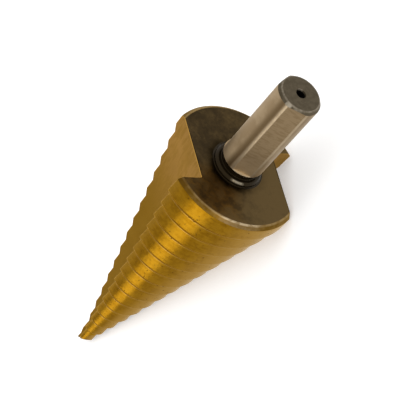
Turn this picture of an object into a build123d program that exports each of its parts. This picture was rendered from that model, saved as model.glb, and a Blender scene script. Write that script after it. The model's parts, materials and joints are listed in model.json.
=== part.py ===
"""Step drill bit for sheet metal: one solid, turned, fluted and ground from a single bar.

The bit is first modelled about its own axis, with the back face of the stepped body at z = 0,
the shank above it and the point below. It cuts clockwise as seen from the shank. It is then
laid down as it comes to rest on a bench: on one of its two flutes, with the point low and the
shank in the air. All lengths are in millimetres and all angles in degrees.
"""
import os
from itertools import product
from math import atan2, cos, asin, degrees, hypot, radians, sin, tan

from build123d import *

# Stepped body
largest_diameter = 32.0
smallest_diameter = 4.0
step_count = 15             # from the largest diameter to the smallest, in equal steps
step_pitch = 5.3            # axial distance from one step to the next
bevel_length = 1.5          # sloping part of each step, the rest is a straight land
first_land_length = 4.0     # widest land, with its rim chamfer
rim_chamfer = 0.85

# Pilot and point
pilot_diameter = 2.9
pilot_length = 2.7          # below the last bevel, point included
point_angle = 130.0
lip_relief_angle = 24.0     # of the facet behind each cutting lip
heel_facet_turn = 55.0      # from the lip to the second facet
heel_relief_angle = 40.0

# Two straight flutes, each a groove with flat walls and a rounded root
flute_count = 2
flute_root_radius = 11.05   # from the axis to the root, at the back face
web_thickness = 0.7         # metal left between the two roots at the point
flute_opening_angle = 94.5  # between the two walls of a flute
rake_lean_angle = 17.0      # of the cutting wall, from the radius through the root
root_fillet = 0.5

# Collar and groove under the shank
collar_diameter = 11.5
collar_height = 1.1
collar_chamfer = 0.5
neck_diameter = 9.0
neck_height = 2.8           # top of the groove above the back face

# Shank with three flats for the jaws of a chuck
shank_diameter = 10.0
shank_top = 26.5            # end of the shank above the back face
end_chamfer_width = 0.6
end_chamfer_height = 0.7
end_chamfer_crown = 0.04    # how far the chamfer bulges between its two edges
flat_count = 3
flat_distance = 4.5         # from the axis to a flat
flat_foot = 0.2             # round rim left below each flat
flat_turn_angle = -17.0     # from the root of the lower flute to a flat

# Turning centre in the end of the shank
centre_hole_diameter = 2.0
centre_hole_depth = 5.0
centre_drill_angle = 118.0
countersink_diameter = 2.5
countersink_angle = 60.0

# Worked out from the sizes above
body_radius = largest_diameter / 2
radius_step = (largest_diameter - smallest_diameter) / 2 / (step_count - 1)
pilot_radius = pilot_diameter / 2
shank_radius = shank_diameter / 2
last_land_end = -first_land_length - (step_count - 1) * step_pitch
point_z = last_land_end - bevel_length - pilot_length
root_slope = (flute_root_radius - web_thickness / 2) / -point_z
rake_wall_angle = -rake_lean_angle
heel_wall_angle = -rake_lean_angle - flute_opening_angle


def polar(radius, angle, z=0.0):
    """Point at a distance from the axis and an angle about it."""
    return Vector(radius * cos(radians(angle)), radius * sin(radians(angle)), z)


def revolved(outline):
    """Solid turned about the axis from a list of (radius, height) points."""
    return revolve(make_face(Polyline(*[(radius, 0, z) for radius, z in outline], close=True)), axis=Axis.Z)


def stepped_body():
    """Turned cone of steps: each land ends in a bevel down to the next, smaller land."""
    outline = [(0, 0), (body_radius - rim_chamfer, 0), (body_radius, -rim_chamfer)]
    for step in range(step_count):
        radius = body_radius - step * radius_step
        land_end = -first_land_length - step * step_pitch
        next_radius = radius - radius_step if step < step_count - 1 else pilot_radius
        outline += [(radius, land_end), (next_radius, land_end - bevel_length)]
    return revolved(outline + [(pilot_radius, point_z), (0, point_z)])


def flute_cutter():
    """Prism that cuts one flute: its root runs from the back face down towards the axis."""
    reach = 3 * body_radius
    overrun = 2.0
    corners = [
        Vector(0, 0, 0),
        polar(reach, rake_wall_angle),
        polar(2 * reach, (rake_wall_angle + heel_wall_angle) / 2),
        polar(reach, heel_wall_angle),
    ]
    section = make_face(Polyline(*corners, close=True))
    section = fillet(section.vertices().sort_by_distance(corners[0])[0], root_fillet)
    start = Pos(flute_root_radius + root_slope * overrun, 0, overrun)
    root_run = (2 * overrun - point_z) * hypot(root_slope, 1)
    return extrude(start * section, amount=root_run, dir=Vector(-root_slope, 0, -1).normalized())


def below_facet(outward_angle, outward_slope, relief_slope):
    """Metal below a plane through the tip that climbs outward and behind the cutting lip."""
    outward = polar(1, outward_angle)
    behind = polar(1, outward_angle + 90)
    facing = outward * outward_slope + behind * relief_slope - Vector(0, 0, 1)
    size = 6 * pilot_diameter
    facet = Plane(origin=(0, 0, point_z), x_dir=outward + Vector(0, 0, outward_slope), z_dir=facing)
    return facet * Box(size, size, size, align=(Align.CENTER, Align.CENTER, Align.MIN))


def point_cutters():
    """Two ground facets on each land: one behind the lip, and a steeper one that clears the heel."""
    lip_slope = tan(radians(90 - point_angle / 2))
    lip_relief = tan(radians(lip_relief_angle))
    turn = radians(heel_facet_turn)
    shared_slope = lip_slope * cos(turn) + lip_relief * sin(turn)
    lip_facet = below_facet(rake_wall_angle, lip_slope, lip_relief)
    heel_facet = below_facet(rake_wall_angle + heel_facet_turn, shared_slope, tan(radians(heel_relief_angle)))
    return [lip_facet, heel_facet]


def shank():
    """Collar, groove and shank in one turning, with its flats and its turning centre."""
    sides = Polyline(*[(radius, 0, z) for radius, z in [
        (shank_radius - end_chamfer_width, shank_top),
        (0, shank_top),
        (0, -collar_height),
        (neck_diameter / 2, -collar_height),
        (neck_diameter / 2, 0),
        (collar_diameter / 2, 0),
        (collar_diameter / 2, collar_height - collar_chamfer),
        (collar_diameter / 2 - collar_chamfer, collar_height),
        (neck_diameter / 2, collar_height),
        (neck_diameter / 2, neck_height),
        (shank_radius, neck_height),
        (shank_radius, shank_top - end_chamfer_height),
    ]])
    bulge = Vector(end_chamfer_height, 0, end_chamfer_width).normalized() * end_chamfer_crown
    chamfer = ThreePointArc(sides @ 1, (sides @ 0 + sides @ 1) / 2 + bulge, sides @ 0)
    turning = revolve(make_face([*sides.edges(), *chamfer.edges()]), axis=Axis.Z)
    flat_width = 2 * shank_radius
    flat = Box(flat_width, flat_width, 2 * shank_top, align=(Align.MIN, Align.CENTER, Align.MIN))
    flat = Pos(flat_distance, 0, neck_height + flat_foot) * flat
    for index in range(flat_count):
        turning -= Rot(0, 0, flat_turn_angle + index * 360 / flat_count) * flat
    return turning - turning_centre()


def turning_centre():
    """Drilled centre hole with its cone bottom and countersunk mouth."""
    hole_radius = centre_hole_diameter / 2
    mouth_radius = countersink_diameter / 2
    mouth_depth = (mouth_radius - hole_radius) / tan(radians(countersink_angle / 2))
    cone_depth = hole_radius / tan(radians(centre_drill_angle / 2))
    return revolved([
        (0, shank_top - centre_hole_depth - cone_depth),
        (hole_radius, shank_top - centre_hole_depth),
        (hole_radius, shank_top - mouth_depth),
        (mouth_radius, shank_top),
        (mouth_radius, shank_top + mouth_depth),
        (0, shank_top + mouth_depth),
    ])


def drill_bit():
    """Whole bit about its own axis."""
    body = stepped_body()
    cutters = [flute_cutter()] + point_cutters()
    for index in range(flute_count):
        for cutter in cutters:
            body -= Rot(0, 0, index * 360 / flute_count) * cutter
    return body + shank()


def edge_angle(wall_angle):
    """Angle about the axis at which a flute wall meets the lower edge of the widest land."""
    root_radius = flute_root_radius - root_slope * first_land_length
    return wall_angle - degrees(asin(root_radius * sin(radians(wall_angle)) / body_radius))


def lie_down(bit):
    """Lay the bit on its first flute, on the pair of corners that carries its centre of mass."""
    down_angle = (edge_angle(rake_wall_angle) + edge_angle(heel_wall_angle)) / 2
    level = Rot(0, 90, 0) * Rot(0, 0, -down_angle) * bit
    balance = level.center(CenterOf.MASS).X
    corners = [(corner.X, corner.Z) for corner in level.vertices()]
    before = [corner for corner in corners if corner[0] < balance]
    behind = [corner for corner in corners if corner[0] > balance]

    def height_under_balance(pair):
        (nose_x, nose_z), (heel_x, heel_z) = pair
        return nose_z + (heel_z - nose_z) * (balance - nose_x) / (heel_x - nose_x)

    (nose_x, nose_z), (heel_x, heel_z) = min(product(before, behind), key=height_under_balance)
    nose_tilt = degrees(atan2(nose_z - heel_z, heel_x - nose_x))
    resting = Rot(0, -nose_tilt, 0) * level
    box = resting.bounding_box()
    return Pos(-box.center().X, -box.center().Y, -box.min.Z) * resting


step_drill_bit = lie_down(drill_bit())
step_drill_bit.label = "step_drill_bit"
os.makedirs("parts", exist_ok=True)
export_step(step_drill_bit, "parts/step_drill_bit.step")
print("length along the axis", shank_top - point_z)
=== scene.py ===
# %% [markdown]
# A step drill bit, dressed in Blender
#
# The bit is one piece of tool steel: a cone of fifteen steps, two straight flutes and a round shank
# with three flats. Its sizes and its resting place come from the imported frame. This script gives it
# the surface that the eye meets: slightly rounded edges, a gold-coloured coating, a dark oxide back
# face, a ground steel shank, the wear of use, and painted highlights, reflections and shade.

# %% Load the frame
import json
import math

import bpy
import numpy as np
from mathutils import Matrix, Vector


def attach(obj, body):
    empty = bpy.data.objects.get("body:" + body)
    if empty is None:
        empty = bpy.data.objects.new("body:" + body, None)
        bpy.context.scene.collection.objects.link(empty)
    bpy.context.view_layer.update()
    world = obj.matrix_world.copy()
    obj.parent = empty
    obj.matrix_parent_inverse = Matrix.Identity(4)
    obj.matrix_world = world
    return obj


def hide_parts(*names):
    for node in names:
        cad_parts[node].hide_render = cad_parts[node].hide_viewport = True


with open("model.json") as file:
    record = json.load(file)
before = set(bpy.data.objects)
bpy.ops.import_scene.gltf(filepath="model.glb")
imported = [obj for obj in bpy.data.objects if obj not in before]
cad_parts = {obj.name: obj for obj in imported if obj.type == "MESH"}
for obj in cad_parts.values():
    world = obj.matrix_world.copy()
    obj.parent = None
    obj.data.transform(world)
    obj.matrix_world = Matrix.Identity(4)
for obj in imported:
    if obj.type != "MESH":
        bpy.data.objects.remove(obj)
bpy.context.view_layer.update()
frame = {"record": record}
MM = 0.001

# %% [markdown]
# Where the bit lies
#
# The bit is easiest to describe about its own axis, in millimetres: z runs up the axis to the shank
# and is 0 at the back face of the stepped cone. On the bench it lies at a slant. Two mounts in the
# record say how: the shank end gives the axis, and the flat on the near side gives the turn about
# it. From these comes one matrix that carries points from the bit's own space to the bench.

# %% The bit's own space
SHANK_TOP = 26.5
FLAT_TURNS = np.array([-17.0, 103.0, 223.0])    # angles about the axis that the three flats face
NEAR_FLAT_TURN = FLAT_TURNS[2]

mounts = {mount["name"]: mount for mount in frame["record"]["mounts"]}
axis = Vector(mounts["shank_end"]["axis"]).normalized()
near_flat = Vector(mounts["shank_flat_side"]["axis"])
near_flat = (near_flat - near_flat.dot(axis) * axis).normalized()
across = axis.cross(near_flat)
turn = math.radians(NEAR_FLAT_TURN)
own_x = math.cos(turn) * near_flat - math.sin(turn) * across
own_y = axis.cross(own_x)
on_axis = Vector(mounts["shank"]["pos_m"])
shank_end = on_axis + (Vector(mounts["shank_end"]["pos_m"]) - on_axis).dot(axis) * axis
own_origin = shank_end - SHANK_TOP * MM * axis
own_axes = np.array([own_x, own_y, axis])


def to_bench(points_mm):
    """Bench position in metres: own origin plus x, y and z millimetres along the three own axes."""
    return points_mm @ own_axes * MM + np.array(own_origin)


print("axis climbs", round(math.degrees(math.asin(axis.z)), 2), "degrees; back face at", own_origin[:])

# %% [markdown]
# The camera
#
# The camera stands on the shank side and looks down at the back face, so the cone runs away from it
# to the lower left of the picture. Its place, its target, its roll and its lens come from fitting
# the outline and the step corners of the bit in the photograph.

# %% Camera at the photograph's angle
CAMERA_PLACE = (0.22787, -0.20132, 0.16183)
CAMERA_TARGET = (0.00718, 0.0048, 0.0091)
CAMERA_ROLL = -64.186       # degrees about the line of sight
CAMERA_LENS = 134.95        # millimetres on a 36 mm sensor

camera = bpy.data.objects.new("camera", bpy.data.cameras.new("camera"))
bpy.context.scene.collection.objects.link(camera)
camera.location = CAMERA_PLACE
sight = Vector(CAMERA_TARGET) - Vector(CAMERA_PLACE)
upright = sight.to_track_quat("-Z", "Y").to_matrix()
camera.rotation_euler = (upright @ Matrix.Rotation(math.radians(CAMERA_ROLL), 3, "Z")).to_euler()
camera.data.lens = CAMERA_LENS
camera.data.clip_start = 0.01
bpy.context.scene.camera = camera
print("camera", round(sight.length, 3), "m from its target")

# %% [markdown]
# The surface as one grid
#
# A lathe part with flutes is awkward as a stack of primitives, because every step has to end exactly
# on the flute walls. It is simple as one grid. Rows are stations of the turned profile, from the tip
# up the cone, over the back face, along the shank and down into the centre hole. Columns go round
# the outline: along a flute root, out along the cutting wall, round a land, and in along the next
# wall. The two halves of the bit are the same, so one half outline is turned by half a turn.

# %% Sizes of the cone in millimetres
BODY_RADIUS = 16.0
SMALLEST_RADIUS = 2.0
STEP_COUNT = 15
STEP_PITCH = 5.3
BEVEL_LENGTH = 1.5
FIRST_LAND = 4.0            # length of the widest land, with its rim chamfer
RIM_CHAMFER = 0.85
PILOT_RADIUS = 1.45
PILOT_LENGTH = 0.8          # from the last bevel to where the point meets the axis
PILOT_SPARE = 0.1           # pilot below the point, trimmed away later
POINT_SKEW = 1.30           # slope by which the point is ground out of square
ROOT_RADIUS = 11.14         # of the root's straight line where it meets the back face
ROOT_SLOPE = 0.1393
ROOT_TOP = 10.75            # the root bends off to this near the back face
WEB = 1.6                   # metal left between the two roots at the point
RAKE_WALL = -21.0           # angle at which the cutting wall runs out from the root
HEEL_WALL = -111.5          # the same for the trailing wall
ROOT_FILLET = 0.5
LAND_RELIEF = 0.074         # climb of a step's edges from lip to heel, for each millimetre of radius
EDGE_ROUND = 0.09           # how far the rounding of a worn edge reaches to each side
EDGE_SHARE = 0.2            # most of a short stretch that the rounding at one end may take
GUIDE = 1.0                 # length of a stretch that only shows where an end corner turns

LAND_ENDS = -FIRST_LAND - STEP_PITCH * np.arange(STEP_COUNT)    # lower edge of each land
LAND_RADII = np.linspace(BODY_RADIUS, SMALLEST_RADIUS, STEP_COUNT)
POINT_Z = LAND_ENDS[-1] - BEVEL_LENGTH - PILOT_LENGTH


def ray(angle):
    """Unit vector in the plane across the axis, at an angle in degrees."""
    return np.array([np.cos(np.radians(angle)), np.sin(np.radians(angle))])


def rounded(points, reach, count=4):
    """Profile with each inner corner replaced by a curve that starts and ends reach away.

    With u from 0 to 1, the curve is the corner plus (1 - u) squared times the way back plus u squared
    times the way ahead. One more point at twice the reach on each side keeps the stretches straight.
    """
    points = np.array(points, float)
    out = [points[:1]]
    u = np.linspace(0, 1, count)[:, None]
    for before, corner, after in zip(points, points[1:], points[2:]):
        back = before - corner
        ahead = after - corner
        near = min(reach, EDGE_SHARE * np.linalg.norm(back), EDGE_SHARE * np.linalg.norm(ahead))
        back *= near / np.linalg.norm(back)
        ahead *= near / np.linalg.norm(ahead)
        curve = corner + (1 - u) ** 2 * back + u ** 2 * ahead
        out += [corner[None] + 2 * back, curve, corner[None] + 2 * ahead]
    return np.vstack(out + [points[-1:]])


# %% The turned profile of the cone
def cone_profile():
    """Stations from the pilot's foot up to the back face: a land, then a bevel out to the next land."""
    corners = [(PILOT_RADIUS, POINT_Z - POINT_SKEW * PILOT_RADIUS - PILOT_SPARE)]
    for radius, land_end in zip(LAND_RADII[::-1], LAND_ENDS[::-1]):
        corners += [(corners[-1][0], land_end - BEVEL_LENGTH), (radius, land_end)]
    corners += [(BODY_RADIUS, -RIM_CHAMFER), (BODY_RADIUS - RIM_CHAMFER, 0)]
    corners += [(BODY_RADIUS - RIM_CHAMFER - GUIDE, 0)]
    return rounded(corners, EDGE_ROUND)[:-1]


profile = cone_profile()
print("cone stations", len(profile), "from z", profile[0, 1], "to", profile[-1, 1])

# %% [markdown]
# The half outline
#
# At a height z the root of a flute stands at a distance from the axis that shrinks towards the
# point. From the root, two straight walls run out at fixed angles until they meet the turned
# radius. The angle at which a wall meets the radius follows from the sine rule. A land is the arc
# between the cutting wall of one flute and the trailing wall of the next. Its heel lies at the
# profile's height, and the lip lies a little lower, as on a real bit, so that only the lip cuts.

# %% Outline columns
FILLET_COLUMNS = 9
WALL_COLUMNS = 18
CORNER_COLUMNS = 5
LAND_COLUMNS = 62
ROOT_BEND = 0.3             # width of the bend in the root near the back face
WEB_BEND = 0.2              # width of the bend where the root reaches the web
LIP_SHARE = 0.06            # most of the radius that the rounding of a lip may take


def smooth_min(first, second, width):
    """Lower of two values, with the corner between them rounded over about the width.

    It is half of their sum less the root of their difference squared plus the width squared.
    """
    return (first + second - np.sqrt((first - second) ** 2 + width ** 2)) / 2


def root_at(z):
    """Distance of a flute's root from the axis: a straight line, held at the top and at half the web."""
    line = smooth_min(ROOT_RADIUS + ROOT_SLOPE * z, ROOT_TOP, ROOT_BEND)
    return -smooth_min(-line, -WEB / 2, WEB_BEND)


def meets(wall, radius, z):
    """Angle in radians at which a wall reaches a radius, by the sine rule in root, axis and edge."""
    lean = np.radians(wall)
    return lean - np.arcsin(np.clip(root_at(z) * np.sin(lean) / radius, -1, 1))


def polar(radius, angle):
    """Points at a radius and an angle in radians."""
    return np.stack([radius * np.cos(angle), radius * np.sin(angle)], -1)


def eased(count, strength=0.75):
    """Values from 0 to 1 that lie closer together at both ends: even steps less part of a sine."""
    u = np.linspace(0, 1, count)
    return u - strength * np.sin(2 * np.pi * u) / (2 * np.pi)


def corner_curve(start, corner, end):
    """Quadratic curve from start to end that leans to the corner, for each station at once."""
    u = np.linspace(0, 1, CORNER_COLUMNS)[None, :, None]
    return (1 - u) ** 2 * start[:, None] + 2 * u * (1 - u) * corner[:, None] + u ** 2 * end[:, None]


def half_outline(radius, z, lift):
    """Half of the outline for each station, as an array of stations by columns by x, y and z.

    It holds the root fillet, the cutting wall, the lip, the land, the heel and the next flute's
    trailing wall. Heights climb by lift from the lip to the heel.
    """
    half_opening = np.radians(RAKE_WALL - HEEL_WALL) / 2
    fall = np.linspace(1, 0, FILLET_COLUMNS)
    root = root_at(z[:, None] + lift[:, None] * fall)
    middle = ROOT_FILLET / np.sin(half_opening) * ray((RAKE_WALL + HEEL_WALL) / 2)
    sweep = np.radians(np.linspace(HEEL_WALL - 90, RAKE_WALL + 90 - 360, FILLET_COLUMNS))
    fillet = middle + polar(ROOT_FILLET, sweep)
    fillet = np.stack([root + fillet[:, 0], 0 * root + fillet[:, 1]], -1)

    tangent = ROOT_FILLET / np.tan(half_opening)
    cut = np.minimum(EDGE_ROUND, LIP_SHARE * radius)[:, None]
    lip_angle = meets(RAKE_WALL, radius, z)
    heel_angle = meets(HEEL_WALL, radius, z + lift) + np.pi
    lip = polar(radius, lip_angle)
    heel = polar(radius, heel_angle)
    rake_foot = np.stack([root_at(z), 0 * z], -1) + tangent * ray(RAKE_WALL)
    rake_end = lip - cut * ray(RAKE_WALL)
    heel_foot = np.stack([-root_at(z + lift), 0 * z], -1) - tangent * ray(HEEL_WALL)
    heel_end = heel + cut * ray(HEEL_WALL)

    u = eased(WALL_COLUMNS)[None, 1:-1, None]
    rake = rake_foot[:, None] + u * (rake_end - rake_foot)[:, None]
    trail = heel_end[:, None] + u * (heel_foot - heel_end)[:, None]
    nick = cut[:, 0] / radius
    lip_round = corner_curve(rake_end, lip, polar(radius, lip_angle + nick))
    heel_round = corner_curve(polar(radius, heel_angle - nick), heel, heel_end)
    share = eased(LAND_COLUMNS)[1:-1]
    land_angle = (lip_angle + nick)[:, None] + share * (heel_angle - lip_angle - 2 * nick)[:, None]
    land = polar(radius[:, None], land_angle)

    plan = np.concatenate([fillet, rake, lip_round, land, heel_round, trail], 1)
    level = np.zeros(rake.shape[1] + CORNER_COLUMNS)
    climb = np.concatenate([fall, level, share, np.ones(CORNER_COLUMNS + trail.shape[1])])
    height = z[:, None] + lift[:, None] * climb
    return np.concatenate([plan, height[..., None]], -1)


# %% Rings of the cone
radius, z = profile[:, 0], profile[:, 1]
below_rim = z < -FIRST_LAND / 2     # the rim and the back face stay square
lift = LAND_RELIEF * radius * below_rim
one_half = half_outline(radius, z - lift, lift)
cone = np.concatenate([one_half, one_half * [-1, -1, 1]], 1)    # the second half is half a turn on
COLUMNS = cone.shape[1]
print("cone grid", cone.shape, "widest", round(float(np.abs(cone[..., :2]).max()), 3))

# %% [markdown]
# The point
#
# The pilot ends in ground facets. On each half one facet falls away a little behind the lip, and a
# second one clears the heel. This point was ground out of square, so all its facets tilt together and
# one side of the pilot is shorter. The end surface is the highest of these planes at each place.
# Every column of the cone is followed down until it meets that surface, and its lowest rows are
# spread again above that place. Rings that shrink to the tip close the end. Near the lip they turn a
# little as they shrink, so that they stay on the metal.

# %% Point facets
POINT_ANGLE = 176.0
LIP_RELIEF = 3.0            # degrees that the first facet falls behind the lip
HEEL_TURN = 55.0            # degrees from the lip to the second facet
HEEL_RELIEF = 4.0
SKEW_SIDE = 245.0           # own angle of the side that is ground shorter
TIP_RINGS = 12
TIP_SWIRL = 40.0            # degrees that the lip side turns between the pilot's edge and the tip
TRIMMED_ROWS = 16           # rows that the facets may reach
LAST_CROSSING = 0.95        # highest share of a row at which a crossing is taken


def point_height(x, y):
    """Height of the ground point: the highest of two planes on each half, all tilted by the skew."""
    lip_slope = np.tan(np.radians(90 - POINT_ANGLE / 2))
    relief = np.tan(np.radians(LIP_RELIEF))
    turned = np.radians(HEEL_TURN)
    shared = lip_slope * np.cos(turned) + relief * np.sin(turned)
    planes = [(RAKE_WALL, lip_slope, relief)]
    planes.append((RAKE_WALL + HEEL_TURN, shared, np.tan(np.radians(HEEL_RELIEF))))
    height = np.zeros_like(x)
    for side in (1, -1):
        for outward, outward_slope, behind_slope in planes:
            out, behind = ray(outward), ray(outward + 90)
            climb = side * (outward_slope * (x * out[0] + y * out[1]))
            climb += side * (behind_slope * (x * behind[0] + y * behind[1]))
            height = np.maximum(height, climb)
    short = ray(SKEW_SIDE)
    return POINT_Z + height + POINT_SKEW * (x * short[0] + y * short[1])


def trimmed(rows):
    """Lowest rows of the cone, spread along each column from the facets to the last of them.

    Clearance is a point's height above the facets. It is below zero under the crossing and above
    zero over it, so the crossing lies a share clearance / (clearance - next clearance) up its row.
    """
    count = len(rows)
    clearance = rows[..., 2] - point_height(rows[..., 0], rows[..., 1])
    under = np.clip((clearance < 0).sum(0) - 1, 0, count - 2)
    every = np.arange(rows.shape[1])
    low, high = clearance[under, every], clearance[under + 1, every]
    crossing = under + np.clip(low / (low - high), 0, LAST_CROSSING)
    place = crossing + (count - 1 - crossing) * np.arange(count)[:, None] / (count - 1)
    floor_row = np.minimum(place.astype(int), count - 2)
    share = (place - floor_row)[..., None]
    return (1 - share) * rows[floor_row, every] + share * rows[floor_row + 1, every]


def point_rings(rim):
    """Rings on the facets that shrink from the pilot's lower edge to the tip."""
    half = len(rim) // 2
    fade = np.interp(np.arange(half), [0, FILLET_COLUMNS, half // 3, half], [0, 1, 1, 0])
    swirl = np.radians(TIP_SWIRL) * np.tile(fade, 2)
    shrink = np.linspace(0, 1, TIP_RINGS + 1)[1:, None]
    angle = np.arctan2(rim[:, 1], rim[:, 0]) + swirl * (1 - shrink)
    reach = np.hypot(rim[:, 0], rim[:, 1]) * shrink
    x, y = reach * np.cos(angle), reach * np.sin(angle)
    return np.stack([x, y, point_height(x, y)], -1)


cone[:TRIMMED_ROWS] = trimmed(cone[:TRIMMED_ROWS])
tip = point_rings(cone[0])
print("point from", round(float(tip[..., 2].min()), 2), "to", round(float(tip[..., 2].max()), 2))

# %% [markdown]
# Collar, groove and shank
#
# These are turned too, so each column keeps its angle. The flats are a minimum: where the plane of a
# flat lies nearer to the axis than the turned radius, the surface is there. A smooth minimum rounds
# the edge between the two, as wear does. Columns crowd together at the edges of the flats.

# %% Sizes of the shank in millimetres
COLLAR_RADIUS = 5.75
COLLAR_HEIGHT = 1.1
COLLAR_CHAMFER = 0.5
COLLAR_ROUND = 0.16
NECK_RADIUS = 4.5
NECK_TOP = 2.8
SHANK_RADIUS = 5.0
END_CHAMFER_WIDTH = 0.6
END_CHAMFER_HEIGHT = 0.7
END_ROUND = 0.1
FLAT_DISTANCE = 4.5
FLAT_FOOT = 0.2             # round rim left below each flat
FLAT_EDGE_ROUND = 0.04
HOLE_RADIUS = 1.0
HOLE_DEPTH = 5.0
HOLE_CONE = 0.6             # depth of the cone at the bottom of the hole
MOUTH_RADIUS = 1.15
MOUTH_DEPTH = 0.43
MOUTH_ROUND = 0.05
MOUTH_FOOT = 0.03           # foot of the mouth, across, that takes the hole's painted shade
LAST_RING = 0.05            # radius at the bottom of the hole, where a fan closes it
SIDE_GUIDE = 0.4            # straight stretch of the shank's side under the end chamfer

# %% Columns of the shank
PART_STARTS = [-8, 3, 32, 112, 172]     # own angles where root, wall, land, next wall and root start
CROWDING = 4.0              # columns added at the edge of a flat, as a multiple of the even ones
CROWD_REACH = 1.6           # degrees
FINE_TURN = 0.05            # degrees between the angles that are counted through

half_flat = np.degrees(np.arccos(FLAT_DISTANCE / SHANK_RADIUS))
FLAT_EDGES = np.concatenate([FLAT_TURNS - half_flat, FLAT_TURNS + half_flat])


def turns_between(angles, others):
    """Turn in degrees from each of the others to each angle, by at most half a turn either way."""
    return (angles[:, None] - others + 180) % 360 - 180


def shank_columns():
    """Angle of each column on the shank: even, but crowded where a flat meets the round.

    The crowding is a bell curve on each edge of a flat. Its running total, read backwards, carries
    even angles to crowded ones.
    """
    half = COLUMNS // 2
    wall = FILLET_COLUMNS + WALL_COLUMNS
    starts = [0, FILLET_COLUMNS, wall, half - WALL_COLUMNS, half]
    even = np.interp(np.arange(half), starts, PART_STARTS)
    even = np.concatenate([even, even + 180])
    fine = np.arange(-60, 420, FINE_TURN)
    crowd = 1 + CROWDING * np.exp(-(turns_between(fine, FLAT_EDGES) / CROWD_REACH) ** 2).sum(1)
    total = np.concatenate([[0], np.cumsum((crowd[1:] + crowd[:-1]) / 2 * np.diff(fine))])
    start, end = np.interp([0, 360], fine, total)
    return np.radians(np.interp(start + even / 360 * (end - start), total, fine))


shank_angle = shank_columns()
from_flat = np.abs(turns_between(np.degrees(shank_angle), FLAT_TURNS)).min(1)
flat_radius = FLAT_DISTANCE / np.cos(np.radians(from_flat))     # how far out the nearest flat lies


def turned_rings(stations, flats):
    """Rings of turned stations; with flats, the radius is the smooth minimum of round and flat.

    That is the lower of the two, less the rounding times the logarithm of one plus e to the power
    of minus their gap over the rounding.
    """
    stations = np.array(stations, float)
    reach = stations[:, :1] + 0 * shank_angle
    if flats:
        lower, gap = np.minimum(reach, flat_radius), np.abs(reach - flat_radius)
        reach = lower - FLAT_EDGE_ROUND * np.log1p(np.exp(-gap / FLAT_EDGE_ROUND))
    height = stations[:, 1:2] + 0 * reach
    return np.concatenate([polar(reach, shank_angle), height[..., None]], -1)


# %% Stations of the collar, the shank and the centre hole
collar_stations = rounded([
    (COLLAR_RADIUS + GUIDE, 0),
    (COLLAR_RADIUS, 0),
    (COLLAR_RADIUS, COLLAR_HEIGHT - COLLAR_CHAMFER),
    (COLLAR_RADIUS - COLLAR_CHAMFER, COLLAR_HEIGHT),
    (NECK_RADIUS, COLLAR_HEIGHT),
    (NECK_RADIUS, NECK_TOP),
    (SHANK_RADIUS, NECK_TOP),
    (SHANK_RADIUS, NECK_TOP + FLAT_FOOT),
], COLLAR_ROUND, 6)[1:]
shank_bottom = NECK_TOP + FLAT_FOOT
chamfer_bottom = SHANK_TOP - END_CHAMFER_HEIGHT
end_radius = SHANK_RADIUS - END_CHAMFER_WIDTH
side_heights = [shank_bottom + 0.04, shank_bottom + 0.1]    # close to the ledge, then even ones
side_heights += list(np.linspace(shank_bottom + 0.3, chamfer_bottom, 40)[:-1])
side_stations = [(SHANK_RADIUS, height) for height in side_heights]
end_stations = rounded([
    (SHANK_RADIUS, chamfer_bottom - SIDE_GUIDE),
    (SHANK_RADIUS, chamfer_bottom),
    (end_radius, SHANK_TOP),
    (MOUTH_RADIUS + GUIDE, SHANK_TOP),
], END_ROUND)[1:]
lower_edge, upper_edge = end_stations[:6], end_stations[6:]     # six points to a corner
share = np.linspace(0, 1, 10)[1:-1, None]
chamfer_slope = (1 - share) * lower_edge[-1] + share * upper_edge[0]
hole_stations = rounded([
    (MOUTH_RADIUS + GUIDE, SHANK_TOP),
    (MOUTH_RADIUS, SHANK_TOP),
    (HOLE_RADIUS, SHANK_TOP - MOUTH_DEPTH),
    (HOLE_RADIUS, SHANK_TOP - HOLE_DEPTH),
    (LAST_RING, SHANK_TOP - HOLE_DEPTH - HOLE_CONE),
], MOUTH_ROUND)[1:]

# %% Rings of the back face, the shank and the centre hole
collar = turned_rings(collar_stations, False)
shank = turned_rings(np.vstack([side_stations, lower_edge, chamfer_slope, upper_edge]), True)
hole = turned_rings(hole_stations, False)

# The back face runs from the cone's last ring in to the collar, straight along each column.
share = np.array([0.02, 0.08, 0.2, 0.4, 0.6, 0.8, 0.92, 0.985])[:, None, None]
back = (1 - share) * cone[-1] + share * collar[0]
print("collar", collar.shape, "shank", shank.shape, "hole", hole.shape)

# %% [markdown]
# One closed mesh
#
# The rings are stacked in order from the tip to the bottom of the centre hole. Each pair of rings
# gives a band of four-sided faces, and a fan closes each end. The columns run the same way as the
# angle and the rows run outwards and up, so every face points outwards.

# %% Stack the rings
parts = {"point": tip, "cone": cone[1:], "back": back, "collar": collar, "shank": shank, "hole": hole}
rings = np.concatenate(list(parts.values()))
row_part = np.repeat(list(parts), [len(part) for part in parts.values()])
ROWS = len(rings)
own_points = np.vstack([rings.reshape(-1, 3), [[0, 0, POINT_Z]], [[0, 0, rings[-1, 0, 2]]]])

row, column = np.meshgrid(np.arange(ROWS - 1), np.arange(COLUMNS), indexing="ij")
here = row * COLUMNS + column
beside = row * COLUMNS + (column + 1) % COLUMNS
quads = np.stack([here, beside, beside + COLUMNS, here + COLUMNS], -1).reshape(-1, 4)
around = np.arange(COLUMNS)
ahead = (around + 1) % COLUMNS
last = (ROWS - 1) * COLUMNS
tip_fan = np.stack([np.full(COLUMNS, ROWS * COLUMNS), ahead, around], -1)
hole_fan = np.stack([last + around, last + ahead, np.full(COLUMNS, ROWS * COLUMNS + 1)], -1)
print("rings", ROWS, "columns", COLUMNS)

# %% Make the mesh
SHARP_ANGLE = 38.0          # degrees from which an edge is shaded sharp

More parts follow.
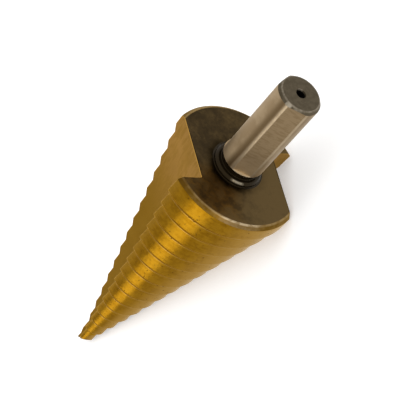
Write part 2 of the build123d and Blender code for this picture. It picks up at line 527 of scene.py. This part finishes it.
# The lips lie on the bench. Where they would sink into it by tenths of a millimetre, they are level.
bench_points = to_bench(own_points)
bench_points[:, 2] = np.maximum(bench_points[:, 2], 0)
mesh = bpy.data.meshes.new("drill_bit_surface")
mesh.from_pydata(bench_points.tolist(), [], quads.tolist() + tip_fan.tolist() + hole_fan.tolist())
mesh.update()
bit = bpy.data.objects.new("drill_bit_surface", mesh)
bpy.context.scene.collection.objects.link(bit)
mesh.shade_smooth()
mesh.set_sharp_from_angle(angle=math.radians(SHARP_ANGLE))
print("faces", len(mesh.polygons))

# %% [markdown]
# What the finishes need to know
#
# A finish follows the bit, not the bench: grinding marks run round the axis and wear sits on edges.
# Two vectors are stored on every vertex for this. The first is the place in the bit's own space in
# millimetres. The second holds what wear and the painted light and shade follow: the distance to the
# nearest lengthwise edge, the distance down from the foot of the bevel above, and the share of the way
# from lip to heel.

# %% Values stored on the vertices
LIP_COLUMN = FILLET_COLUMNS + WALL_COLUMNS - 2 + CORNER_COLUMNS // 2
HEEL_COLUMN = LIP_COLUMN + LAND_COLUMNS - 2 + CORNER_COLUMNS
FAR = 9.0                   # stands for a distance that no wear reaches
SLACK = 0.02                # millimetres by which a point may miss a line of the profile

half = COLUMNS // 2
edge_columns = [LIP_COLUMN, HEEL_COLUMN, LIP_COLUMN + half, HEEL_COLUMN + half]
from_edges = rings[:, :, None] - rings[:, None, edge_columns]
long_edge = np.linalg.norm(from_edges, axis=-1).min(-1)
from_flats = np.abs(turns_between(np.degrees(shank_angle), FLAT_EDGES)).min(1)
long_edge[row_part == "back"] = np.linalg.norm(back - cone[-1], axis=-1)
long_edge[np.isin(row_part, ["collar", "shank", "hole"])] = np.radians(from_flats) * SHANK_RADIUS

below = LAND_ENDS - profile[1:, 1:2]
under_bevel = np.full(ROWS, FAR)
bevel_foot = np.where(below > BEVEL_LENGTH - SLACK, below - BEVEL_LENGTH, FAR)
under_bevel[row_part == "cone"] = bevel_foot.min(1)

angle = np.unwrap(np.arctan2(rings[..., 1], rings[..., 0]), axis=1)[:, :half]
way = (angle - angle[:, [LIP_COLUMN]]) / (angle[:, [HEEL_COLUMN]] - angle[:, [LIP_COLUMN]])
way = np.tile(np.clip(way, 0, 1), 2)

wear = np.stack([long_edge, under_bevel[:, None] + 0 * way, way], -1).reshape(-1, 3)
wear = np.vstack([wear, [[FAR, FAR, 0]] * 2])
for name, values in (("own", own_points), ("wear", wear)):
    layer = mesh.attributes.new(name, "FLOAT_VECTOR", "POINT")
    layer.data.foreach_set("vector", values.ravel())
print("widest distance from an edge", round(float(long_edge.max()), 2), "mm")

# %% [markdown]
# Short calls for node materials
#
# Every finish here is a node material on the Principled shader. Written out in full, the nodes hide
# the idea, so a small class gives each kind of node one short call. Each call returns the output of
# the node, ready for the next call, and a recipe then reads like a sum. A recipe first blends a
# ground colour and then paints marks, wear, and painted light and shade over it.


# %% The helper
class Finish:
    """A node material: each call adds one node and gives back its output for the next call."""

    def __init__(self, name, fixed):
        self.material = bpy.data.materials.new(name)
        self.material.use_nodes = True
        self.tree = self.material.node_tree
        self.shader = self.tree.nodes["Principled BSDF"]
        self.join(self.shader, fixed)
        self.own = self.add("Attribute", {}, "Vector", attribute_name="own")
        self.x, self.y, self.z = self.split(self.own)
        wear = self.add("Attribute", {}, "Vector", attribute_name="wear")
        self.long_edge, self.under_bevel, self.way = self.split(wear)
        self.color = None

    def join(self, node, inputs):
        """Set each named input of a node, or link it where the value is another node's output."""
        for name, value in inputs.items():
            if isinstance(value, bpy.types.NodeSocket):
                self.tree.links.new(value, node.inputs[name])
            else:
                node.inputs[name].default_value = value

    def add(self, kind, inputs, output=0, **settings):
        """Make a node with its settings and inputs, and give back one of its outputs."""
        node = self.tree.nodes.new("ShaderNode" + kind)
        for name, value in settings.items():
            setattr(node, name, value)
        self.join(node, inputs)
        return node.outputs[output]

    def split(self, vector):
        """The x, y and z outputs of a vector."""
        return tuple(self.add("SeparateXYZ", {0: vector}).node.outputs)

    def compute(self, operation, first, second=0.0):
        """One sum with two values."""
        return self.add("Math", {0: first, 1: second}, operation=operation)

    def scaled(self, value, times, plus):
        """Value times a second one plus a third."""
        return self.add("Math", {0: value, 1: times, 2: plus}, operation="MULTIPLY_ADD")

    def off(self, value, middle):
        """How far a value is from a middle, up or down."""
        return self.compute("ABSOLUTE", self.compute("SUBTRACT", value, middle))

    def radius(self):
        """Distance from the axis: root of x squared plus y squared."""
        squares = self.scaled(self.y, self.y, self.compute("MULTIPLY", self.x, self.x))
        return self.compute("SQRT", squares)

    def toward(self, angle):
        """Distance along a direction across the axis: x times its cosine plus y times its sine."""
        side = ray(angle)
        return self.scaled(self.x, side[0], self.compute("MULTIPLY", self.y, side[1]))

    def facing(self, angle):
        """Cosine of the angle about the axis between the place and a direction."""
        return self.compute("DIVIDE", self.toward(angle), self.radius())

    def lengthwise(self):
        """Direction of the bit's axis: marks that run round the bit blur reflections along it."""
        return self.add("CombineXYZ", dict(enumerate(axis)))

    def noise(self, scale, stretch=(1, 1, 1), detail=3.0, roughness=0.5):
        """Cloudy value near one half; a stretch above 1 squeezes the pattern along that direction."""
        mapped = self.add("Mapping", {"Vector": self.own, "Scale": stretch})
        inputs = {"Vector": mapped, "Scale": scale, "Detail": detail, "Roughness": roughness}
        return self.add("TexNoise", inputs, "Fac")

    def between(self, value, low, high, at_low=0.0, at_high=1.0):
        """Value carried smoothly from the range low..high to at_low..at_high, and held outside it."""
        inputs = {"Value": value, "From Min": low, "From Max": high, "To Min": at_low, "To Max": at_high}
        return self.add("MapRange", inputs, interpolation_type="SMOOTHSTEP")

    def fading(self, value, full, gone, most=1.0):
        """Mask that is at its most up to one value and gone from another."""
        return self.between(value, full, gone, most, 0.0)

    def patches(self, scale, low, high, at_low=0.0, at_high=1.0, **pattern):
        """Mask of soft patches: a noise, carried from the range low..high to at_low..at_high."""
        return self.between(self.noise(scale, **pattern), low, high, at_low, at_high)

    def stirred(self, value, noise, weight):
        """Value plus weight times what the noise is above one half."""
        return self.scaled(self.compute("SUBTRACT", noise, 0.5), weight, value)

    def both(self, *masks):
        """Product of masks: 1 only where all of them are 1."""
        product = masks[0]
        for mask in masks[1:]:
            product = self.compute("MULTIPLY", product, mask)
        return product

    def blend(self, share, first, second):
        """Colour that goes from first to second as share goes from 0 to 1."""
        inputs = {0: share, 6: first, 7: second}
        return self.add("Mix", inputs, 2, data_type="RGBA", clamp_factor=True)

    def paint(self, mask, color):
        """Lay a colour over the finish's own, as far as the mask says."""
        self.color = self.blend(mask, self.color, color)

    def pits(self, scale, size, where):
        """Small round spots, one at most in each cell of a scattered pattern, kept where a mask is 1."""
        distance = self.add("TexVoronoi", {"Vector": self.own, "Scale": scale}, "Distance")
        return self.both(self.fading(distance, size * 0.5, size), where)

    def scratches(self, scale, width, where):
        """Thin curved lines: the places where a smooth noise passes through one half."""
        off_line = self.off(self.noise(scale, detail=0), 0.5)
        return self.both(self.fading(off_line, width * 0.4, width), where)

    def bump(self, height, depth, normal=None):
        """Tilted normal of a height between 0 and 1 that stands depth millimetres deep."""
        inputs = {"Height": height, "Distance": depth * MM, "Strength": 1.0}
        if normal is not None:
            inputs["Normal"] = normal
        return self.add("Bump", inputs)

    def done(self, **inputs):
        """Join the recipe's results to the shader and give back the finished material."""
        self.join(self.shader, {name.replace("_", " "): value for name, value in inputs.items()})
        return self.material


def metal(name, tint, **fixed):
    """Finish of bare or coated metal, with the tint of its shine at a glancing angle."""
    return Finish(name, {"Metallic": 1.0, "Specular Tint": tint, **fixed})


# %% [markdown]
# Gold coating
#
# The cone carries a very hard gold-coloured coating, a few thousandths of a millimetre thick, over
# ground steel. So it is a metal with a satin roughness, never a paint. The lands show faint rings
# from turning, a cloudy tone, small pits and a few curved scratches. The coating is darker close to
# the lip, and toward the heel a painted reflection makes it lighter. Painted highlights run along the
# lip and heel edges, along the edges of the flute walls and just below each bevel. The bevels between
# two lands are duller, and so are the flute walls, because they are ground by the face of a coarse
# wheel.

# %% Gold on the lands
GOLD_DEEP = (0.172, 0.079, 0.0010, 1)
GOLD_LIGHT = (0.245, 0.121, 0.004, 1)
GOLD_PAINTED_REFLECTION = (0.292, 0.158, 0.024, 1)
GOLD_LIP = (0.150, 0.076, 0.005, 1)
GOLD_PIT = (0.095, 0.042, 0.002, 1)
GOLD_EDGE_HIGHLIGHT = (0.300, 0.172, 0.040, 1)
GOLD_TINT = (1.0, 0.88, 0.66, 1)


def gold_on_lands():
    """Satin coating: turning rings, clouds and grain give its tone, use marks it, and it carries a
    painted reflection and painted highlights.
    """
    gold = metal("gold_on_lands", GOLD_TINT, Anisotropic=0.55)
    cloud = gold.noise(0.32, detail=4)
    turning = gold.noise(1.0, (0.12, 0.12, 5))
    tone = gold.scaled(turning, 0.45, gold.compute("MULTIPLY", cloud, 0.55))
    tone = gold.stirred(tone, gold.noise(1.3, detail=6, roughness=0.68), 0.50)
    gold.color = gold.blend(gold.between(tone, 0.36, 0.64), GOLD_DEEP, GOLD_LIGHT)

    # Painted reflection: the lands are painted lighter from the middle toward the heel.
    painted_light = gold.both(gold.between(gold.way, 0.46, 0.68), gold.between(tone, 0.3, 0.6, 0.6, 1))
    gold.paint(painted_light, GOLD_PAINTED_REFLECTION)
    # Painted highlight: a light strip on each land just below the bevel above, strongest toward the lip.
    under_bevel = gold.fading(gold.under_bevel, 0.08, 0.40, 0.60)
    painted_highlight = gold.both(under_bevel, gold.between(gold.way, 0.35, 0.60, 1, 0.3))
    gold.paint(painted_highlight, GOLD_EDGE_HIGHLIGHT)
    pits = gold.pits(0.75, 0.17, gold.patches(0.22, 0.46, 0.60, detail=2))
    lines = gold.scratches(0.42, 0.012, gold.patches(0.8, 0.55, 0.62, detail=1))
    marks = gold.compute("MAXIMUM", pits, gold.compute("MULTIPLY", lines, 0.7))
    gold.paint(marks, GOLD_PIT)
    gold.paint(gold.fading(gold.way, 0.01, 0.085, 0.85), GOLD_LIP)
    # Painted highlight along the lip and heel edges.
    lip = gold.both(gold.fading(gold.long_edge, 0.05, 0.22), gold.patches(1.3, 0.35, 0.65, 0.05, 0.6))
    gold.paint(lip, GOLD_EDGE_HIGHLIGHT)

    rough = gold.scaled(marks, 0.2, gold.scaled(cloud, 0.16, 0.22))
    grooves = gold.bump(gold.noise(1.0, (0.3, 0.3, 14), detail=2), 0.003)
    ripples = gold.bump(gold.noise(2.6), 0.009, grooves)
    dents = gold.bump(gold.noise(1.1), 0.020, ripples)
    sunk = gold.bump(gold.compute("SUBTRACT", 1.0, marks), 0.015, dents)
    return gold.done(Base_Color=gold.color, Roughness=rough, Normal=sunk, Tangent=gold.lengthwise())


# %% Gold on the bevels
BEVEL_DEEP = (0.200, 0.098, 0.004, 1)
BEVEL_LIGHT = (0.290, 0.148, 0.010, 1)
BEVEL_TINT = (0.95, 0.74, 0.42, 1)


def gold_on_bevels():
    """Duller coating with only a soft change of tone."""
    gold = metal("gold_on_bevels", BEVEL_TINT, Roughness=0.42)
    return gold.done(Base_Color=gold.blend(gold.patches(0.9, 0.35, 0.65), BEVEL_DEEP, BEVEL_LIGHT))


# %% Gold on the flute walls
WALL_LOW = (0.096, 0.049, 0.004, 1)
WALL_TOP = (0.180, 0.100, 0.030, 1)
WALL_DARK = (0.085, 0.045, 0.005, 1)
WALL_TINT = (1.0, 0.77, 0.51, 1)


def gold_on_walls():
    """Coating over coarse strokes: paler toward the back face, with painted highlights along its edges.
    """
    gold = metal("gold_on_flute_walls", WALL_TINT)
    cloud = gold.noise(0.25, detail=4)
    strokes = gold.noise(1.0, (2.2, 2.2, 0.25))
    tone = gold.scaled(strokes, 0.5, gold.compute("MULTIPLY", cloud, 0.5))
    gold.color = gold.blend(gold.between(gold.z, -30, -1), WALL_LOW, WALL_TOP)
    gold.paint(gold.fading(tone, 0.42, 0.58, 0.45), WALL_DARK)
    # Painted highlights along the long edges of the wall and along its top edge by the back face.
    edge = gold.both(gold.fading(gold.long_edge, 0.05, 0.25), gold.between(cloud, 0.35, 0.6, 0.3, 1))
    top = gold.between(gold.z, -0.30, -0.16, 0, 0.9)
    gold.paint(gold.compute("MAXIMUM", edge, top), GOLD_EDGE_HIGHLIGHT)
    rough = gold.scaled(cloud, 0.15, 0.36)
    normal = gold.bump(gold.noise(5.0, detail=2), 0.004, gold.bump(strokes, 0.005))
    return gold.done(Base_Color=gold.color, Roughness=rough, Normal=normal)


# %% [markdown]
# Rim, back face and collar
#
# The rim chamfer takes the knocks, so the coating there is dull. One side of it carries painted
# highlights, and a broken painted highlight runs where it meets the back face. The back face and the
# collar carry the dark oxide of hardening. It is browner toward one side, nearly black round the
# collar, where dark oxide and painted shade lie together, and heat stained it reddish toward one lip.
# A thin line of black oxide and painted shade runs along its edges by the flutes. The collar is smooth
# and black, with a painted highlight at one spot.

# %% The rim
RIM_DARK = (0.128, 0.066, 0.008, 1)
RIM_LIGHT = (0.168, 0.095, 0.020, 1)
RIM_HIGHLIGHT_LINE = (0.255, 0.170, 0.070, 1)
RIM_SIDE_HIGHLIGHT = (0.235, 0.160, 0.075, 1)
RIM_BROKEN_HIGHLIGHT = (0.430, 0.330, 0.200, 1)
RIM_LIP = (0.090, 0.043, 0.004, 1)
RIM_HIGHLIGHT_SIDE = 235.0       # own angle of the painted highlights on the rim


def worn_rim():
    """Dull coating, dark by the lip, with painted highlights along the inner edge and on one side."""
    rim = metal("worn_rim_chamfer", GOLD_TINT)
    cloud = rim.noise(0.8, detail=4)
    rim.color = rim.blend(rim.between(cloud, 0.38, 0.62), RIM_DARK, RIM_LIGHT)
    rim.paint(rim.fading(rim.way, 0.0, 0.16, 0.9), RIM_LIP)
    outward = rim.compute("SUBTRACT", rim.radius(), BODY_RADIUS - RIM_CHAMFER)
    # Painted highlight along the inner edge, where the rim meets the back face.
    line = rim.both(rim.between(cloud, 0.35, 0.6, 0.5, 1), rim.between(rim.way, 0.05, 0.22, 0.3, 1))
    line = rim.both(rim.fading(outward, 0.10, 0.32, 0.9), line)
    rim.paint(line, RIM_HIGHLIGHT_LINE)
    # Painted highlights on one side: a pale patchy one over the chamfer and a broken bright one by the
    # inner edge.
    side = rim.between(rim.facing(RIM_HIGHLIGHT_SIDE), 0.930, 0.990)
    pale = rim.both(side, rim.patches(2.0, 0.30, 0.70, 0.25, 0.60, detail=4))
    rim.paint(pale, RIM_SIDE_HIGHLIGHT)
    broken = rim.both(side, rim.fading(outward, 0.14, 0.30), rim.patches(0.9, 0.40, 0.56, 0.25, 1))
    rim.paint(broken, RIM_BROKEN_HIGHLIGHT)
    return rim.done(Base_Color=rim.color, Roughness=rim.scaled(cloud, 0.2, 0.28))


# %% The back face
OXIDE_DARK = (0.031, 0.021, 0.011, 1)
OXIDE_BROWN = (0.104, 0.068, 0.028, 1)
OXIDE_RED = (0.128, 0.066, 0.014, 1)
BLACK_OXIDE_AND_SHADE = (0.008, 0.005, 0.002, 1)
OXIDE_SPECK = (0.16, 0.12, 0.065, 1)
OXIDE_TINT = (0.90, 0.78, 0.58, 1)
BROWNER_SIDE = 285.0           # own angle toward which the back face is browner
STAIN_SIDE = 198.0          # own angle of the reddish stain
HALO_AND_SHADE_SIDE = 170.0           # own angle at which the dark oxide and painted shade are blackest round the collar


def oxide_on_back():
    """Oxide, browner toward one side, with a mottled stain and specks, and black oxide with painted
    shade round the collar and by the flutes.
    """
    oxide = metal("dark_oxide_on_back_face", OXIDE_TINT)
    cloud = oxide.noise(0.22, detail=5, roughness=0.55)
    grain = oxide.noise(1.1, detail=6, roughness=0.65)
    browner = oxide.scaled(oxide.facing(BROWNER_SIDE), 0.5, 0.5)
    browner = oxide.stirred(oxide.stirred(browner, cloud, 2.0), grain, 1.1)
    oxide.color = oxide.blend(oxide.between(browner, -0.40, 1.0), OXIDE_DARK, OXIDE_BROWN)

    side = oxide.facing(STAIN_SIDE)
    mottled = oxide.patches(0.35, 0.40, 0.60, 0.35, 1, detail=4)
    oxide.paint(oxide.both(oxide.between(side, 0.70, 0.95), mottled), OXIDE_RED)
    blotches = oxide.patches(0.36, 0.42, 0.66, 0, 0.75, detail=5, roughness=0.55)
    oxide.paint(oxide.both(blotches, oxide.between(side, 0.45, 0.90)), OXIDE_DARK)
    # Dark oxide and painted shade: a frayed black ring round the collar, blackest toward one side.
    frayed = oxide.scaled(oxide.noise(0.5), 2.2, oxide.radius())
    halo_and_shade_side = oxide.between(oxide.facing(HALO_AND_SHADE_SIDE), -0.45, 0.75, 0.25, 1)
    oxide.paint(oxide.both(oxide.fading(frayed, 7.0, 9.2), halo_and_shade_side), BLACK_OXIDE_AND_SHADE)
    specks = oxide.pits(0.9, 0.06, oxide.patches(0.3, 0.48, 0.6, detail=1))
    oxide.paint(specks, OXIDE_SPECK)
    # Black oxide and painted shade in a thin line along the back face's edges by the flutes.
    by_lip = oxide.fading(oxide.way, 0.002, 0.01)
    by_flute = oxide.compute("MAXIMUM", by_lip, oxide.between(oxide.way, 0.99, 0.998))
    line = oxide.both(oxide.fading(oxide.long_edge, 0.16, 0.34, 0.8), by_flute)
    oxide.paint(line, BLACK_OXIDE_AND_SHADE)

    rough = oxide.scaled(cloud, 0.2, 0.34)
    return oxide.done(Base_Color=oxide.color, Roughness=rough, Normal=oxide.bump(grain, 0.006))


# %% The collar
COLLAR_PAINTED_HIGHLIGHT = (0.30, 0.26, 0.19, 1)
COLLAR_TINT = (1.0, 0.74, 0.40, 1)
COLLAR_HIGHLIGHT_SIDE = 226.0       # own angle of the painted highlight on the collar


def oxide_on_collar():
    """Smooth black oxide, with a painted highlight at one spot on the chamfer."""
    fixed = {"Specular Tint": COLLAR_TINT, "Specular IOR Level": 0.20}
    oxide = Finish("black_oxide_on_collar", fixed)
    # Painted highlight: one spot on the chamfer.
    on_chamfer = oxide.fading(oxide.off(oxide.radius(), COLLAR_RADIUS - COLLAR_CHAMFER / 2), 0.06, 0.26)
    spot = oxide.between(oxide.facing(COLLAR_HIGHLIGHT_SIDE), 0.950, 0.985)
    painted_highlight = oxide.both(on_chamfer, spot, oxide.patches(1.2, 0.30, 0.50, 0.3, 1))
    rough = oxide.scaled(oxide.noise(0.9), 0.12, 0.14)
    return oxide.done(Base_Color=oxide.blend(painted_highlight, BLACK_OXIDE_AND_SHADE, COLLAR_PAINTED_HIGHLIGHT), Roughness=rough)


# %% [markdown]
# Shank
#
# The shank is bare steel, ground so that a chuck grips it. The round part is smooth with a cloudy
# tone and one strip of painted dark reflection, painted light makes the foot paler, and the flats
# carry short strokes of the grinding wheel across them. The edges of the flats are worn bright by the
# jaws and carry a painted highlight, and the small ledge under the near flat has a painted highlight.
# The end face is duller and grey, with scuffs and painted highlights on its edge and the mouth of its
# hole, and a pale spot on its chamfer. The hole itself is painted black, as painted shade.

# %% Ground steel
STEEL_DEEP = (0.214, 0.150, 0.082, 1)
STEEL_LIGHT = (0.268, 0.196, 0.114, 1)
STEEL_DARK_REFLECTION = (0.150, 0.099, 0.048, 1)
STEEL_FOOT_PAINTED_LIGHT = (0.470, 0.342, 0.200, 1)
STEEL_WEAR_AND_HIGHLIGHT = (0.385, 0.298, 0.190, 1)
STEEL_TINT = (1.0, 0.95, 0.88, 1)
FLAT_DEEP = (0.214, 0.147, 0.076, 1)
FLAT_LIGHT = (0.252, 0.178, 0.097, 1)
LEDGE_PAINTED_HIGHLIGHT = (0.720, 0.600, 0.410, 1)
DARK_REFLECTION_SIDE = 180.0           # own angle of a strip of painted dark reflection along the shank


def ground_steel():
    """Bare steel: clouds on the round, strokes on the flats, wear, and painted light, highlights and a
    dark reflection.
    """
    steel = metal("ground_steel_shank", STEEL_TINT, Anisotropic=0.8)
    cloud = steel.noise(0.35, detail=4)
    strokes = steel.noise(1.0, (0.55, 0.55, 2.2))
    round_color = steel.blend(steel.between(cloud, 0.36, 0.64), STEEL_DEEP, STEEL_LIGHT)
    flat_color = steel.blend(steel.between(strokes, 0.38, 0.56), FLAT_DEEP, FLAT_LIGHT)
    reach = steel.toward(FLAT_TURNS[0])
    for flat_turn in FLAT_TURNS[1:]:
        reach = steel.compute("MAXIMUM", reach, steel.toward(flat_turn))
    on_flat = steel.between(reach, FLAT_DISTANCE - 0.02, FLAT_DISTANCE - 0.005)
    steel.color = steel.blend(on_flat, round_color, flat_color)
    # Painted light: the foot of the shank is painted paler.
    steel.paint(steel.fading(steel.z, 3.5, 9.0, 0.65), STEEL_FOOT_PAINTED_LIGHT)

    # Painted dark reflection: a darker strip on the round beside the flats, on one side only.
    on_round = steel.compute("SUBTRACT", 1.0, on_flat)
    away = steel.between(steel.long_edge, 0.50, 1.0)
    beside_flat = steel.both(away, steel.fading(steel.long_edge, 1.3, 2.7))
    dark_reflection = steel.both(beside_flat, steel.between(steel.facing(DARK_REFLECTION_SIDE), 0.92, 0.965), on_round)
    steel.paint(dark_reflection, STEEL_DARK_REFLECTION)
    # Wear from the jaws and a painted highlight: the round is lighter along the edges of the flats.
    patchy = steel.patches(1.2, 0.3, 0.6, 0.60, 0.95)
    painted_light = steel.both(steel.fading(steel.long_edge, 0.35, 0.68), patchy, on_round)
    steel.paint(painted_light, STEEL_WEAR_AND_HIGHLIGHT)
    # Painted highlight on the small ledge under the near flat.
    ledge_highlight = steel.both(
        steel.between(steel.z, NECK_TOP + 0.04, NECK_TOP + 0.10),
        steel.fading(steel.z, shank_bottom + 0.04, shank_bottom + 0.08),
        steel.between(steel.toward(NEAR_FLAT_TURN), FLAT_DISTANCE - 0.03, FLAT_DISTANCE + 0.05),
    )
    steel.paint(ledge_highlight, LEDGE_PAINTED_HIGHLIGHT)

    rough = steel.scaled(cloud, 0.12, 0.34)
    grooves = steel.bump(steel.noise(1.0, (0.5, 0.5, 9), detail=2), 0.0015)
    normal = steel.bump(strokes, 0.003, grooves)
    return steel.done(Base_Color=steel.color, Roughness=rough, Normal=normal, Tangent=steel.lengthwise())


# %% The end face and the hole
END_DEEP = (0.078, 0.062, 0.039, 1)
END_LIGHT = (0.100, 0.080, 0.052, 1)
END_SCUFF_AND_HIGHLIGHT = (0.215, 0.182, 0.134, 1)
END_PALE_SPOT = (0.340, 0.295, 0.225, 1)
HOLE_PAINTED_SHADE = (0.0015, 0.001, 0.0008, 1)
MOUTH_HIGHLIGHT_SIDE = 60.0           # own angle of the painted highlight at the mouth of the hole
PALE_SPOT_SIDE = 196.0          # own angle of a pale spot on the end chamfer


def grey_end():
    """Grey steel with a scuffed edge that carries a painted highlight too, a painted highlight on one
    side of the mouth and a pale spot on the chamfer.
    """
    end = metal("grey_shank_end", STEEL_TINT)
    cloud = end.noise(1.1, detail=5)
    end.color = end.blend(end.between(cloud, 0.36, 0.64), END_DEEP, END_LIGHT)
    radius = end.radius()
    # Scuffs and a painted highlight along the edge of the chamfer, and a painted highlight on one side
    # of the mouth.
    crease = end.fading(end.off(radius, end_radius), 0.05, 0.26)
    edge = end.both(crease, end.patches(1.2, 0.35, 0.60, 0.35, 1))
    mouth_highlight = end.fading(radius, MOUTH_RADIUS, MOUTH_RADIUS + 0.18)
    mouth_highlight = end.both(mouth_highlight, end.between(end.facing(MOUTH_HIGHLIGHT_SIDE), 0.8, 0.95))
    end.paint(end.compute("MAXIMUM", edge, mouth_highlight), END_SCUFF_AND_HIGHLIGHT)
    # A pale spot on the chamfer at one side.
    uneven = end.scaled(end.noise(1.5), 0.03, end.facing(PALE_SPOT_SIDE))
    pale_spot = end.both(end.between(uneven, 1.000, 1.012), end.between(radius, 4.25, 4.5))
    end.paint(pale_spot, END_PALE_SPOT)
    rough = end.scaled(cloud, 0.15, 0.36)
    return end.done(Base_Color=end.color, Roughness=rough, Normal=end.bump(cloud, 0.008))


def painted_shade_in_hole():
    """Painted shade: black, with almost no shine, as no light comes back from the hole."""
    fixed = {"Base Color": HOLE_PAINTED_SHADE, "Roughness": 0.6, "Specular IOR Level": 0.1}
    return Finish("centre_hole_painted_shade", fixed).done()


# %% [markdown]
# Which finish goes where
#
# Rows and columns of the grid say it all: lip to heel columns are lands, the rest of the cone is
# flute wall, and the turned rows follow one another. So the finish of a face is worked out from its
# row and its column, with no picking by hand.

# %% Make the finishes
makers = [gold_on_lands, gold_on_bevels, gold_on_walls, worn_rim, oxide_on_back, oxide_on_collar]
makers += [ground_steel, grey_end, painted_shade_in_hole]
for maker in makers:
    mesh.materials.append(maker())
LANDS, BEVELS, WALLS, RIM, BACK, COLLAR, STEEL, END, HOLE = range(len(makers))
print("finishes", [finish.name for finish in mesh.materials])

# %% Zones of the grid
upper_part = np.repeat(row_part[1:, None], COLUMNS, 1)
middle_z = (rings[:-1, :, 2] + rings[1:, :, 2]) / 2
ring_radius = np.hypot(rings[..., 0], rings[..., 1])
middle_radius = (ring_radius[:-1] + ring_radius[1:]) / 2
in_half = np.arange(COLUMNS) % half
on_land = ((in_half >= LIP_COLUMN) & (in_half < HEEL_COLUMN))[None, :]
profile_z = np.full(ROWS, FAR)
profile_z[row_part == "cone"] = profile[1:, 1]
middle_profile = (profile_z[:-1] + profile_z[1:]) / 2
down = LAND_ENDS - middle_profile[:, None]
on_bevel = ((down > SLACK) & (down < BEVEL_LENGTH - SLACK)).any(1)[:, None]
on_cone = upper_part == "cone"
zone = np.select([
    upper_part == "point",
    on_cone & (middle_z > -RIM_CHAMFER) & on_land,
    on_cone & on_land & on_bevel,
    on_cone & on_land,
    on_cone,
    upper_part == "back",
    (upper_part == "collar") & (middle_z < NECK_TOP - SLACK),
    upper_part == "collar",
    (upper_part == "shank") & (middle_z < chamfer_bottom),
    upper_part == "shank",
    middle_radius > HOLE_RADIUS + MOUTH_FOOT,
], [WALLS, RIM, BEVELS, LANDS, WALLS, BACK, COLLAR, STEEL, STEEL, END, END], HOLE)
face_zone = np.concatenate([zone.ravel(), np.full(COLUMNS, WALLS), np.full(COLUMNS, HOLE)])
mesh.polygons.foreach_set("material_index", face_zone.astype(np.int32))
mesh.update()
print("faces of each finish", np.bincount(face_zone).tolist())

# %% Fasten the surface to the frame
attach(bit, "root")
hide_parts("step_drill_bit")

# %% [markdown]
# Floor and light
#
# Metal shows what stands around it, so the light is part of the finish. The surroundings are a plain
# pale world and a pale floor, at a level at which a colour looks as it is written. One large soft
# lamp stands low in front of the point and draws the long bright band on the lands. A second stands
# on the far side and lights the flute and the round of the shank. A small one low on the camera's
# side draws the highlights on edges. The floor turns white for the camera and for reflections, and
# keeps the soft shadow of the bit.

# %% Floor
FLOOR_REACH = 3.0
FLOOR_PAINT = 0.82
FLOOR_GLOW = 0.40           # added for the camera, so that the floor looks white
FLOOR_MIRRORED = 1.15       # brightness of the floor in reflections

corners = ((-1, -1), (1, -1), (1, 1), (-1, 1))
floor_corners = [(x * FLOOR_REACH, y * FLOOR_REACH, 0) for x, y in corners]
floor_mesh = bpy.data.meshes.new("floor")
floor_mesh.from_pydata(floor_corners, [], [(0, 1, 2, 3)])
floor = bpy.data.objects.new("floor", floor_mesh)
bpy.context.scene.collection.objects.link(floor)

fixed = {"Roughness": 0.9, "Specular IOR Level": 0.0, "Emission Color": (1, 1, 1, 1)}
paper = Finish("pale_floor", fixed)
rays = paper.tree.nodes.new("ShaderNodeLightPath").outputs
mirrored = paper.compute("MAXIMUM", rays["Is Glossy Ray"], rays["Is Transmission Ray"])
paint = paper.compute("MULTIPLY", paper.compute("SUBTRACT", 1.0, mirrored), FLOOR_PAINT)
glow = paper.compute("MULTIPLY", rays["Is Camera Ray"], FLOOR_GLOW)
glow = paper.scaled(mirrored, FLOOR_MIRRORED, glow)
floor_mesh.materials.append(paper.done(Base_Color=paint, Emission_Strength=glow))

# %% World and lamps
world = bpy.data.worlds.new("pale_surroundings")
bpy.context.scene.world = world
world.use_nodes = True
world.node_tree.nodes["Background"].inputs["Color"].default_value = (1, 1, 1, 1)
world.node_tree.nodes["Background"].inputs["Strength"].default_value = 1.0


def soft_lamp(name, azimuth, elevation, distance, width, height, radiance):
    """Rectangular lamp that faces the bit; its power is radiance times pi times its area."""
    lamp = bpy.data.lights.new(name, "AREA")
    lamp.shape = "RECTANGLE"
    lamp.size = width
    lamp.size_y = height
    lamp.energy = radiance * math.pi * width * height
    holder = bpy.data.objects.new(name, lamp)
    bpy.context.scene.collection.objects.link(holder)
    turn, rise = math.radians(azimuth), math.radians(elevation)
    out = Vector((math.cos(rise) * math.cos(turn), math.cos(rise) * math.sin(turn), math.sin(rise)))
    holder.location = out * distance
    holder.rotation_euler = out.to_track_quat("Z", "Y").to_euler()
    print(name, "stands at", [round(value, 2) for value in holder.location])


soft_lamp("low_front_lamp", -140, 13, 0.9, width=0.445, height=0.36, radiance=2.9)
soft_lamp("far_side_lamp", 157, 28, 1.0, width=1.05, height=0.60, radiance=1.10)
soft_lamp("edge_lamp", -50, 5, 0.9, width=0.20, height=0.12, radiance=9.0)

# %% [markdown]
# Last settings
#
# The Standard view keeps colours as they are written.

# %% View transform
bpy.context.scene.view_settings.view_transform = "Standard"
